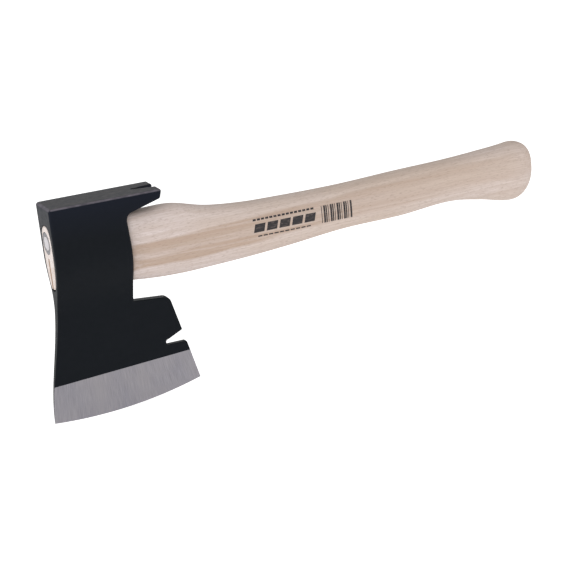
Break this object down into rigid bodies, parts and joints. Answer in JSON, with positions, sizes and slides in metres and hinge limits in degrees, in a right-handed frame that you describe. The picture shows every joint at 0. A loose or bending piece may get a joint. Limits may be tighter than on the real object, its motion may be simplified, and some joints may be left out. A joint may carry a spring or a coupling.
{
  "type": "claw hatchet",
  "caption": "Short one-hand carpenter's hatchet: forged head with flat hammer poll, rear nail claw, bearded blade with nail notch, on a curved wooden handle with a knob end.",
  "frame": {"origin": "middle of the flat hammer face on top of the head", "axes": "+X from the front of the head along the handle to the knob, +Z out of the hammer face, so the cutting edge points to -Z, +Y across the thickness"},
  "size_m": [0.3876, 0.0292, 0.1559],
  "materials": {
    "black_lacquered_steel": "satin black lacquer over forged steel",
    "beech": "smooth sanded, thin clear coat",
    "bare_steel": "ground, fine scratches",
    "brown_wood": "raw end grain"
  },
  "bodies": {
    "root": {"axe_head": "black_lacquered_steel", "handle": "beech", "ring_wedge": "bare_steel", "wood_wedge": "brown_wood"}
  },
  "joints": []
}
